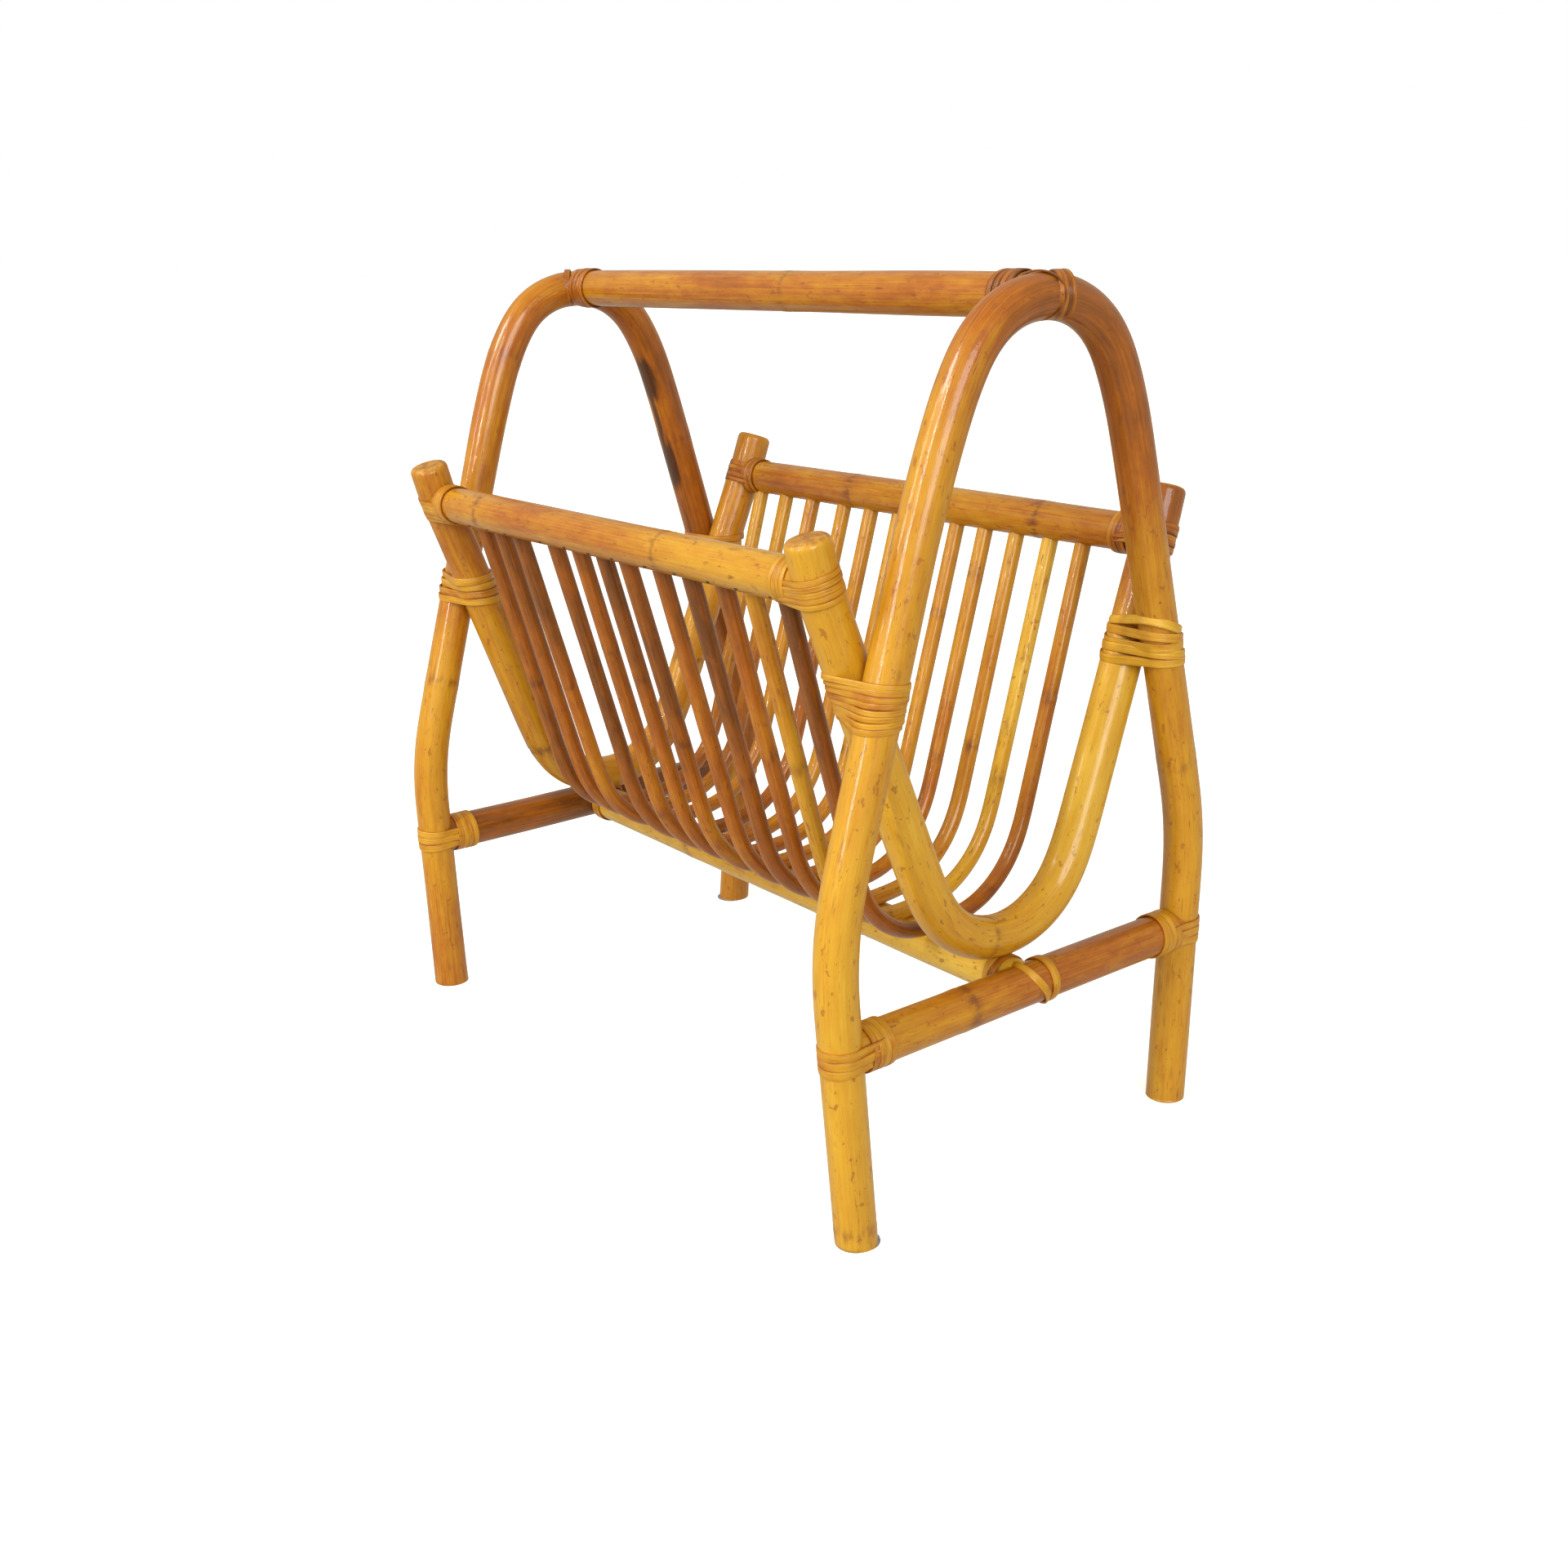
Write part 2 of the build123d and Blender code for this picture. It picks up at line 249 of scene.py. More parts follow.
def piece(name, vertices, faces, attributes, material, replaced):
    """A smooth mesh that rides on the rack and stands for CAD nodes."""
    mesh = bpy.data.meshes.new(name)
    mesh.from_pydata(vertices.tolist(), [], faces)
    mesh.polygons.foreach_set("use_smooth", [True] * len(mesh.polygons))
    for key, values in attributes.items():
        if values.ndim == 2:
            made = mesh.attributes.new(key, "FLOAT_VECTOR", "POINT")
            made.data.foreach_set("vector", values.astype(np.float32).ravel())
        else:
            made = mesh.attributes.new(key, "FLOAT", "POINT")
            made.data.foreach_set("value", values.astype(np.float32))
    mesh.update()
    made = bpy.data.objects.new(name, mesh)
    bpy.context.scene.collection.objects.link(made)
    made.data.materials.append(material)
    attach(made, "root")
    if replaced:
        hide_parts(*replaced)
    return made


def ring_faces(rings, around, closed):
    """Quads of a tube of rings; a closed one joins its last ring to its first."""
    faces = []
    for i in range(rings if closed else rings - 1):
        j = (i + 1) % rings
        for k in range(around):
            m = (k + 1) % around
            faces.append((i * around + k, i * around + m, j * around + m, j * around + k))
    return faces


def line_frames(line, reference):
    """Tangents, and two directions across the line of which one keeps near reference."""
    tangents = np.gradient(line, axis=0)
    tangents /= np.linalg.norm(tangents, axis=1)[:, None]
    side = reference - (tangents @ reference)[:, None] * tangents
    side /= np.linalg.norm(side, axis=1)[:, None]
    return tangents, side, np.cross(tangents, side)


def cane_radius(rng, along, radius, rings, angles):
    """Radius of a cane at each place along and around it, with swellings at its growth rings."""
    wave = wander(rng, along, 0.09, 0.018) - 0.012
    oval = 0.012 * np.cos(2 * (angles[None, :] + rng.uniform(0, 3)) + along[:, None] * 9)
    surface = radius * (1 + wave[:, None] + oval)
    for place, slant, phase, strength in rings:
        offset = along[:, None] - place - slant * np.cos(angles[None, :] + phase)
        swell = SWELLING * radius * np.exp(-(offset / (0.45 * radius)) ** 2)
        groove = GROOVE_DEPTH * radius * np.exp(-((offset - GROOVE_SHIFT) / (1.2 * MM)) ** 2)
        surface += strength * (swell - groove)
    return surface


def ring_places(rng, length, spacing, shares):
    """Growth rings of a cane, at shares of its length or spaced by chance: (place, slant, phase,
    strength) of each."""
    if shares:
        places = [share * length for share in shares]
    else:
        places = np.cumsum(spacing * rng.uniform(0.8, 1.2, int(length / spacing) + 1))
        places = places[places < length - END_MARGIN] - rng.uniform(0, 0.4) * spacing
    return [(place, rng.uniform(*RING_SLANT), rng.uniform(0, 6.28), rng.uniform(0.4, 1.0))
            for place in places]


def cane(name, line, radius, material, tones, spacing, reference=X_AXIS, replaced=(),
         stains=(), around=CANE_SIDES, flat_foot=False):
    """A rattan cane along a line. tones lists its colour from end to end, 0 pale to 1 dark.
    stains lists dark marks: (share along, degrees around, length, width, strength)."""
    rng = seeded(name)
    tangents, side, up = line_frames(line, reference)
    along = distances(line)
    length = along[-1]
    angles = np.linspace(0, 2 * math.pi, around, endpoint=False)
    rings = ring_places(rng, length, spacing, RINGS.get(name))
    surface = cane_radius(rng, along, radius, rings, angles)
    shift = wander(rng, along, 0.07, 0.018 * radius)
    middle = line + up * shift[:, None]

    def ring_at(i, share, inset):
        """A ring at share of the radius, moved inset along the cane from its end."""
        reach = surface[i] * share
        return middle[i] + tangents[i] * inset + np.cos(angles)[:, None] * reach[:, None] * side[i] \
            + np.sin(angles)[:, None] * reach[:, None] * up[i]

    # an end from its middle outwards: (share of the radius, distance from the end)
    profile = [(0.02, 0.0), (0.3, 0.0), (0.62, 0.0)]
    profile += [(1 - END_ROUNDING / radius * (1 - math.sin(t)), END_ROUNDING * (1 - math.cos(t)))
                for t in np.radians((5, 30, 60, 88))]
    inside = [i for i, s in enumerate(along) if END_ROUNDING < s < length - END_ROUNDING]
    vertices = [ring_at(0, share, inset) for share, inset in profile]
    vertices += [ring_at(i, 1, 0) for i in inside]
    vertices += [ring_at(-1, share, -inset) for share, inset in reversed(profile)]
    place = [inset for _, inset in profile] + [along[i] for i in inside]
    place = np.repeat(place + [length - inset for _, inset in reversed(profile)], around)
    shares = [share for share, _ in profile]
    shares = shares + [1.0] * len(inside) + shares[::-1]
    count = len(vertices)
    vertices = np.concatenate(vertices)
    if flat_foot:
        vertices[:, 2] = np.maximum(vertices[:, 2], 0)
    faces = ring_faces(count, around, False)
    faces.append(tuple(reversed(range(around))))
    faces.append(tuple(range((count - 1) * around, count * around)))

    around_angle = np.tile(angles, count)
    share = np.repeat(shares, around)
    tone = np.interp(place / length, np.linspace(0, 1, len(tones)), tones)
    tone += np.interp(place, along, wander(rng, along, 0.06, 0.05))
    ring, groove = np.zeros(len(place)), np.zeros(len(place))
    for where, slant, phase, strength in rings:
        offset = place - where - slant * np.cos(around_angle + phase)
        ring = np.maximum(ring, strength * np.exp(-(offset / (4.5 * MM)) ** 2))
        near_groove = np.clip(1 - abs(offset - GROOVE_SHIFT) / (1.3 * MM), 0, 1)
        groove = np.maximum(groove, strength * near_groove)
    stain = np.zeros(len(place))
    for where, turn, long, wide, strength in stains:
        gap = np.radians((np.degrees(around_angle) - turn + 180) % 360 - 180) * radius
        near = np.exp(-((place - where * length) / long) ** 2 - (gap / wide) ** 2)
        stain = np.maximum(stain, strength * near)
    grain = np.stack([radius * share * np.cos(around_angle), radius * share * np.sin(around_angle),
                      place + rng.uniform(0, 50)], axis=1)
    attributes = {"grain": grain, "tone": tone, "ring": ring, "groove": groove, "stain": stain,
                  "sawn": (share < 0.93).astype(float)}
    return piece(name, vertices, faces, attributes, material, replaced)


# ---------------------------------------------------------------- lashing strips

def section(origin, axis, cane_point, direction, radius):
    """The ellipse in which the plane through origin across axis cuts a cane."""
    lean = direction @ axis
    centre = cane_point + direction * ((origin - cane_point) @ axis) / lean
    short = np.cross(direction, axis)
    if np.linalg.norm(short) < 1e-6:
        short = np.cross(axis, X_AXIS if abs(axis[0]) < 0.9 else Y_AXIS)
    short = unit(short)
    return centre, short, np.cross(axis, short), radius, radius / abs(lean)


def taut_loop(origin, axis, canes):
    """Points and outward directions of a loop pulled tight round the canes, across axis."""
    axis = unit(axis)
    sections = [section(origin, axis, *one) for one in canes]
    u = unit(np.cross(axis, Z_AXIS if abs(axis[2]) < 0.9 else X_AXIS))
    v = np.cross(axis, u)
    points, outs = [], []
    for turn in np.linspace(0, 2 * math.pi, LOOP_TURNS, endpoint=False):
        out = math.cos(turn) * u + math.sin(turn) * v
        best, reach = None, -1e9
        for centre, short, long, r_short, r_long in sections:
            a, b = r_short ** 2 * (out @ short), r_long ** 2 * (out @ long)
            size = math.sqrt(a * (out @ short) + b * (out @ long))
            point = centre + (a * short + b * long) / size
            if point @ out > reach:
                best, reach = point, point @ out
        points.append(best)
        outs.append(out)
    points, outs = np.array(points), np.array(outs)
    steps = np.linalg.norm(np.roll(points, -1, axis=0) - points, axis=1)
    along = np.concatenate([[0], np.cumsum(steps)])
    count = max(16, int(along[-1] / STRIP_SPACING))
    places = np.linspace(0, along[-1], count, endpoint=False)

    def spread(values):
        looped = np.concatenate([values, values[:1]])
        return np.stack([np.interp(places, along, looped[:, k]) for k in range(3)], axis=1)

    outs = spread(outs)
    return spread(points), outs / np.linalg.norm(outs, axis=1)[:, None], places


# across the strip from -1 to 1, and its height above the cane in thicknesses
STRIP_PROFILE = ((-1, -0.5), (-1, 0.45), (-0.95, 0.74), (-0.82, 0.9), (-0.4, 1.0), (0.4, 1.0),
                 (0.82, 0.9), (0.95, 0.74), (1, 0.45), (1, -0.5), (0, -0.5))


def strip_rings(rng, origin, axis, canes, width, lift):
    """Mesh data of one closed strip: vertices, grain and edge of each, and the count of rings."""
    points, outs, along = taut_loop(origin, axis, canes)
    axis = unit(axis)
    period = along[-1] + along[1]
    phase = rng.uniform(0, 2 * math.pi)
    sway = 0.25 * MM * np.sin(2 * math.pi * along / period + phase)
    raised = lift + 0.12 * MM * np.sin(4 * math.pi * along / period + 2 * phase)
    narrow = 1 + 0.05 * np.sin(2 * math.pi * along / period + 3 * phase)
    rings, grain = [], []
    offset = rng.uniform(0, 40)
    for across, height in STRIP_PROFILE:
        side = (across * width / 2 * narrow + sway)[:, None] * axis
        rings.append(points + side + (raised + height * STRIP_THICK)[:, None] * outs)
        grain.append(np.stack([np.full(len(along), across * width / 2),
                               np.full(len(along), height * STRIP_THICK), along + offset], axis=1))
    vertices = np.stack(rings, axis=1).reshape(-1, 3)
    edge = np.tile([abs(across) for across, _ in STRIP_PROFILE], len(along))
    return vertices, np.stack(grain, axis=1).reshape(-1, 3), edge, len(along)


def lashing(name, strips, tone, material):
    """One lashing made of strips, each (origin, axis, canes, width, lift)."""
    rng = seeded(name)
    all_vertices, all_grain, all_edge, all_tone, faces, start = [], [], [], [], [], 0
    for origin, axis, canes, width, lift in strips:
        vertices, grain, edge, count = strip_rings(rng, origin, axis, canes, width, lift)
        for face in ring_faces(count, len(STRIP_PROFILE), True):
            faces.append(tuple(start + k for k in face))
        start += len(vertices)
        all_vertices.append(vertices)
        all_grain.append(grain)
        all_edge.append(edge)
        all_tone.append(np.full(len(vertices), tone + rng.uniform(-0.12, 0.12)))
    vertices = np.concatenate(all_vertices)
    attributes = {"grain": np.concatenate(all_grain), "edge": np.concatenate(all_edge),
                  "tone": np.concatenate(all_tone)}
    return piece(name, vertices, faces, attributes, material, [name])


def tee_strips(joint, post, post_r, branch, branch_r, on_post, on_branch):
    """Strips round a through cane and round the end of the cane that butts on it.
    on_post lists (shift along the post, tilt, width); on_branch lists (distance from the post's
    surface, tilt, width)."""
    side = unit(np.cross(post, branch))
    strips = []
    for i, (shift, tilt, width) in enumerate(on_post):
        half = math.sqrt(max(branch_r ** 2 - shift ** 2, (0.35 * branch_r) ** 2))
        far = joint + branch * (post_r + BRANCH_REACH)
        canes = [(joint, post, post_r), (far, post, half)]
        strips.append((joint + post * shift, post + branch * tilt, canes, width, 0.15 * MM * (i % 2)))
    for i, (distance, tilt, width) in enumerate(on_branch):
        canes = [(joint, branch, branch_r + 0.3 * MM)]
        # close to the post a strip also passes over the strips that reach round the branch
        if distance < 8 * MM and on_post:
            canes += [(joint + s * side * branch_r, branch, 0.35 * MM) for s in (-1, 1)]
        origin = joint + branch * (post_r + distance)
        strips.append((origin, branch + post * tilt, canes, width, 0.1 * MM + 0.1 * MM * (i % 2)))
    return strips


def rows(first, step, count, width, slope=0.0, fan=0.0):
    """Evenly set strips: (place, tilt, width) of each, their tilts fanning out from slope."""
    middle = (count - 1) / 2
    return [(first + step * i, slope + fan * (i - middle), width) for i in range(count)]


def crossing_strips(end, side, heights_and_slopes, width):
    """Strips round a hoop's limb and the basket arm that passes behind it."""
    strips = []
    middle = box_middle(f"lashing_crossing_{end}_{side}")[2]
    for i, (height, slope_y, slope_x) in enumerate(heights_and_slopes):
        z = middle + height
        canes = [at_height(HOOPS[end], side, z) + (HOOP_R,),
                 at_height(BASKETS[end], side, z) + (BASKET_R,)]
        origin = (canes[0][0] + canes[1][0]) / 2
        axis = np.array([-slope_x, -slope_y, 1.0])
        strips.append((origin, axis, canes, width, 0.25 * MM * (i % 2)))
    return strips


# ---------------------------------------------------------------- materials

def put(tree, kind, inputs=None, **settings):
    """Adds a shader node with its settings and inputs; an input is a value or another socket."""
    made = tree.nodes.new(kind)
    for key, value in settings.items():
        setattr(made, key, value)
    for key, value in (inputs or {}).items():
        if isinstance(value, bpy.types.NodeSocket):
            tree.links.new(value, made.inputs[key])
        else:
            made.inputs[key].default_value = value
    return made


def ramp(tree, factor, stops):
    made = put(tree, "ShaderNodeValToRGB", {"Fac": factor})
    elements = made.color_ramp.elements
    while len(elements) < len(stops):
        elements.new(0.5)
    for element, (position, colour) in zip(elements, stops):
        element.position = position
        element.color = colour
    return made.outputs["Color"]


def maths(tree, operation, a, b):
    return put(tree, "ShaderNodeMath", {0: a, 1: b}, operation=operation).outputs[0]


def band(tree, value, low, high):
    """0 below low, rising smoothly to 1 above high."""
    made = put(tree, "ShaderNodeMapRange", {"Value": value, "From Min": low, "From Max": high},
               interpolation_type="SMOOTHSTEP")
    return made.outputs["Result"]


def stretched(tree, grain, across, along):
    """Noise coordinates that repeat about every 1/across metres round a cane, 1/along down it."""
    made = put(tree, "ShaderNodeVectorMath", {0: grain, 1: (across, across, along)},
               operation="MULTIPLY")
    return made.outputs[0]


def noise(tree, vector, detail, rough):
    made = put(tree, "ShaderNodeTexNoise", {"Vector": vector, "Scale": 1.0, "Detail": detail,
                                            "Roughness": rough})
    return made.outputs[0]


def mixed(tree, factor, a, b):
    """Colour a where factor is 0, b where it is 1."""
    made = put(tree, "ShaderNodeMix", data_type="RGBA")
    for socket, value in (("Factor_Float", factor), ("A_Color", a), ("B_Color", b)):
        target = next(s for s in made.inputs if s.identifier == socket)
        if isinstance(value, bpy.types.NodeSocket):
            tree.links.new(value, target)
        else:
            target.default_value = value
    return next(s for s in made.outputs if s.identifier == "Result_Color")


CANE_COLOURS = (
    (0.0, srgb(230, 190, 70)),
    (0.25, srgb(214, 162, 38)),
    (0.5, srgb(198, 138, 22)),
    (0.75, srgb(168, 92, 8)),
    (1.0, srgb(108, 60, 14)),
)
SMUDGE_BROWN = srgb(140, 74, 24)
DASH_BROWN = srgb(104, 52, 18)
SPOT_BROWN = srgb(146, 80, 24)
FLECK_BROWN = srgb(84, 40, 16)
THREAD_BROWN = srgb(140, 74, 22)
NODE_BROWN = srgb(112, 58, 20)
PORE_BROWN = srgb(96, 54, 20)
SCORCH = srgb(46, 22, 12)
SAWN_COLOURS = ((0.35, srgb(206, 152, 62)), (0.65, srgb(158, 98, 34)))


def attribute(tree, name, output):
    return put(tree, "ShaderNodeAttribute", attribute_name=name).outputs[output]


def new_material(name):
    material = bpy.data.materials.new(name)
    material.use_nodes = True
    tree = material.node_tree
    return material, tree, tree.nodes["Principled BSDF"]


def times(tree, a, b):
    return maths(tree, "MULTIPLY", a, b)


def plus(tree, a, b):
    return maths(tree, "ADD", a, b)


def varied(tree, value, amount):
    """A noise value turned into a change of up to about half of amount either way."""
    return times(tree, maths(tree, "SUBTRACT", value, 0.5), amount)


def marks(tree, grain, stretch, detail, rough, limits):
    """Ragged marks along the fibres: 1 on them, 0 between them."""
    return band(tree, noise(tree, stretched(tree, grain, *stretch), detail, rough), *limits)


def laid_on(tree, colour, mark, strength, mark_colour):
    """The colour with mark_colour laid over it where the mark is, as far as strength says."""
    return mixed(tree, times(tree, mark, strength), colour, mark_colour)


def cane_material(name, specks, patchiness):
    """Lacquered rattan: patchy honey colour, fine fibres, specks and dark growth rings."""
    material, tree, surface = new_material(name)
    grain = attribute(tree, "grain", "Vector")
    tone, ring, groove, stain, sawn = (
        attribute(tree, key, "Fac") for key in ("tone", "ring", "groove", "stain", "sawn"))

    patches = noise(tree, stretched(tree, grain, 70, 14), 5.0, 0.62)
    mottle = noise(tree, stretched(tree, grain, 190, 60), 4.0, 0.6)
    fibres = noise(tree, stretched(tree, grain, 800, 10), 3.0, 0.65)
    shade = plus(tree, tone, varied(tree, patches, patchiness))
    shade = plus(tree, shade, varied(tree, mottle, 0.34))
    shade = plus(tree, shade, varied(tree, fibres, 0.4))
    colour = ramp(tree, shade, CANE_COLOURS)

    # brown smudges drawn out along the fibres, short dashes, spots, specks and fine dark threads
    smudge = marks(tree, grain, (130, 22), 6.0, 0.72, (0.57, 0.72))
    colour = laid_on(tree, colour, smudge, 0.5, SMUDGE_BROWN)
    dashes = marks(tree, grain, (900, 95), 2.0, 0.5, (0.66, 0.73))
    colour = laid_on(tree, colour, dashes, specks, DASH_BROWN)
    spots = marks(tree, grain, (230, 140), 3.0, 0.6, (0.62, 0.68))
    colour = laid_on(tree, colour, spots, 0.6, SPOT_BROWN)
    flecks = marks(tree, grain, (520, 330), 3.0, 0.6, (0.69, 0.74))
    colour = laid_on(tree, colour, flecks, 0.75, FLECK_BROWN)
    threads = marks(tree, grain, (2600, 34), 2.0, 0.5, (0.6, 0.78))
    colour = laid_on(tree, colour, threads, 0.3, THREAD_BROWN)

    # growth rings: a ragged brown halo, and a broken dark line in the groove
    halo = times(tree, ring, band(tree, mottle, 0.42, 0.62))
    colour = laid_on(tree, colour, halo, 0.75, NODE_BROWN)
    line = times(tree, groove, marks(tree, grain, (260, 60), 3.0, 0.6, (0.4, 0.56)))
    colour = laid_on(tree, colour, line, 0.75, NODE_BROWN)

    # scorch marks with ragged edges
    ragged = noise(tree, stretched(tree, grain, 330, 26), 5.0, 0.65)
    scorch = plus(tree, stain, varied(tree, ragged, 1.1))
    scorch = times(tree, band(tree, scorch, 0.2, 0.65), band(tree, stain, 0.03, 0.2))
    colour = laid_on(tree, colour, scorch, 0.85, SCORCH)

    # sawn ends: browner, with the cane's pores
    cells = put(tree, "ShaderNodeTexVoronoi", {"Vector": grain, "Scale": 1300.0})
    pores = band(tree, cells.outputs["Distance"], 0.5, 0.2)
    end_colour = laid_on(tree, ramp(tree, mottle, SAWN_COLOURS), pores, 0.5, PORE_BROWN)
    colour = mixed(tree, sawn, colour, end_colour)

    # satin cane under a clear lacquer, which the sawn ends lack
    tree.links.new(colour, surface.inputs["Base Color"])
    gloss = plus(tree, varied(tree, patches, 0.3), 0.4)
    gloss = plus(tree, gloss, times(tree, smudge, 0.1))
    tree.links.new(gloss, surface.inputs["Roughness"])
    surface.inputs["Specular IOR Level"].default_value = 0.25
    lacquered = times(tree, maths(tree, "SUBTRACT", 1.0, sawn), 0.65)
    tree.links.new(lacquered, surface.inputs["Coat Weight"])
    surface.inputs["Coat Roughness"].default_value = 0.07
    surface.inputs["Coat IOR"].default_value = 1.5

    # relief: pitted lacquer over the fibres, with the marks and the ring lines sunk in
    pits = noise(tree, stretched(tree, grain, 700, 420), 3.0, 0.7)
    relief = times(tree, pits, 0.85)
    relief = plus(tree, relief, times(tree, fibres, 0.5))
    for mark, depth in ((flecks, 0.6), (dashes, 0.3), (line, 0.5)):
        relief = maths(tree, "SUBTRACT", relief, times(tree, mark, depth))
    for socket, depth in (("Normal", 0.4 * MM), ("Coat Normal", 0.22 * MM)):
        bump = put(tree, "ShaderNodeBump", {"Strength": 0.4, "Distance": depth, "Height": relief})
        tree.links.new(bump.outputs["Normal"], surface.inputs[socket])
    return material


def strip_material():
    """Peeled cane strip: silky, with straight fibres, and edges darkened as painted shade in the gaps
    between strips.
    """
    material, tree, surface = new_material("binding_strip")
    grain = attribute(tree, "grain", "Vector")
    tone = attribute(tree, "tone", "Fac")
    edge = attribute(tree, "edge", "Fac")
    fibres = noise(tree, stretched(tree, grain, 2000, 16), 3.0, 0.6)
    patches = noise(tree, stretched(tree, grain, 140, 60), 4.0, 0.6)
    shade = plus(tree, tone, varied(tree, fibres, 0.7))
    shade = plus(tree, shade, varied(tree, patches, 0.8))
    # painted shade: each strip darker towards its edges, where it meets its neighbours
    shade = plus(tree, shade, times(tree, band(tree, edge, 0.75, 1.0), 0.2))
    colour = ramp(tree, shade, CANE_COLOURS)
    dark = marks(tree, grain, (1500, 80), 2.0, 0.5, (0.63, 0.76))
    colour = laid_on(tree, colour, dark, 0.5, NODE_BROWN)
    tree.links.new(colour, surface.inputs["Base Color"])
    gloss = plus(tree, varied(tree, patches, 0.3), 0.42)
    tree.links.new(gloss, surface.inputs["Roughness"])
    surface.inputs["Specular IOR Level"].default_value = 0.3
    surface.inputs["Coat Weight"].default_value = 0.4
    surface.inputs["Coat Roughness"].default_value = 0.18
    bump = put(tree, "ShaderNodeBump", {"Strength": 0.6, "Distance": 0.5 * MM, "Height": fibres})
    tree.links.new(bump.outputs["Normal"], surface.inputs["Normal"])
    tree.links.new(bump.outputs["Normal"], surface.inputs["Coat Normal"])
    return material


def steel_material():
    """Dull nail steel with brown tarnish."""
    material, tree, surface = new_material("nail_steel")
    place = put(tree, "ShaderNodeTexCoord").outputs["Object"]
    tarnish = noise(tree, stretched(tree, place, 900, 900), 4.0, 0.5)
    colour = ramp(tree, tarnish, ((0.3, srgb(58, 48, 42)), (0.7, srgb(112, 100, 90))))
    tree.links.new(colour, surface.inputs["Base Color"])
    surface.inputs["Metallic"].default_value = 0.8
    rough = plus(tree, times(tree, tarnish, 0.4), 0.3)
    tree.links.new(rough, surface.inputs["Roughness"])
    return material


def dowel_material():
    """Plain turned hardwood for the hidden dowels."""
    material, tree, surface = new_material("dowel_wood")
    place = put(tree, "ShaderNodeTexCoord").outputs["Object"]
    lengthwise = put(tree, "ShaderNodeVectorMath", {0: place, 1: (60, 900, 900)},
                     operation="MULTIPLY").outputs[0]
    lines = noise(tree, lengthwise, 4.0, 0.6)
    colour = ramp(tree, lines, ((0.3, srgb(176, 132, 84)), (0.7, srgb(222, 188, 136))))
    tree.links.new(colour, surface.inputs["Base Color"])
    surface.inputs["Roughness"].default_value = 0.6
    return material


# ---------------------------------------------------------------- the rack

STRIP = strip_material()
STEEL = steel_material()
DOWEL = dowel_material()
CANES = {
    "hoop_cane": cane_material("hoop_cane", 0.45, 0.35),
    "basket_cane": cane_material("basket_cane", 0.5, 0.35),
    "rail_cane": cane_material("rail_cane", 0.6, 0.45),
    "stretcher_cane": cane_material("stretcher_cane", 0.5, 0.4),
    "slat_cane": cane_material("slat_cane", 0.7, 0.4),
}

# Colours along each cane, 0 pale straw to 1 dark reddish brown, from its front or far end. Partly the
# canes' own colour and partly painted shade and light.
# Painted shade: the back end of the near basket frame, above its crossing, is darkened. Painted light:
# the near hoop's back limb, the near cross stretcher and the centre stretcher are lightened for light
# from below.
TONES = {
    "end_hoop_near": (0.34, 0.3, 0.3, 0.42, 0.52, 0.8, 0.76, 0.56, 0.46, 0.44, 0.46),
    "end_hoop_far": (0.62, 0.54, 0.52, 0.62, 0.66, 0.72, 0.76, 0.86, 0.78, 0.64, 0.62),
    "basket_frame_near": (0.36, 0.34, 0.28, 0.28, 0.36, 0.4, 0.28, 0.16, 0.22, 0.7, 0.8),
    "basket_frame_far": (0.62, 0.64, 0.52, 0.48, 0.5, 0.55, 0.55, 0.5, 0.55, 0.62, 0.62),
    "front_rail": (0.66, 0.64, 0.66, 0.64, 0.5, 0.42, 0.46),
    "back_rail": (0.64, 0.66, 0.64, 0.6, 0.62, 0.66, 0.72),
    "handle_bar": (0.64, 0.62, 0.7, 0.72, 0.68, 0.7, 0.74),
    "cross_stretcher_near": (0.5, 0.52, 0.66, 0.7, 0.7, 0.68),
    "cross_stretcher_far": (0.84, 0.92, 1.0, 1.0),
    "centre_stretcher": (0.2, 0.22, 0.24, 0.16, 0.12),
}
SLAT_TONES = (0.7, 0.66, 0.62, 0.7, 0.64, 0.58, 0.68, 0.6, 0.62, 0.56, 0.26, 0.7)
SLAT_PAINTED_SHADE_AND_LIGHT = (0.26, -0.16)   # change of tone from a slat's front end to its back end: painted shade darkens the front end, which faces down, and painted light pales the back end, which faces up to the key light
STAINS = {
    "end_hoop_far": ((0.572, 76, 0.02, 0.008, 1.0), (0.6, 82, 0.03, 0.003, 0.9),
                     (0.63, 82, 0.022, 0.008, 1.0), (0.68, 70, 0.05, 0.003, 0.55)),
}
# Where growth rings show on a cane, as shares along it; elsewhere they are spaced by chance.
RINGS = {
    "end_hoop_near": (0.045, 0.79),
    "front_rail": (0.17, 0.67),
    "basket_frame_near": (0.47,),
}


def bent_canes():
    """The end hoops and the basket frames."""
    for end in ENDS:
        name = f"end_hoop_{end}"
        cane(name, HOOPS[end], HOOP_R, CANES["hoop_cane"], TONES[name], 0.24,
             replaced=[name], stains=STAINS.get(name, ()), flat_foot=True)
        name = f"basket_frame_{end}"
        cane(name, BASKETS[end], BASKET_R, CANES["basket_cane"], TONES[name], 0.2,
             replaced=[name], stains=STAINS.get(name, ()))


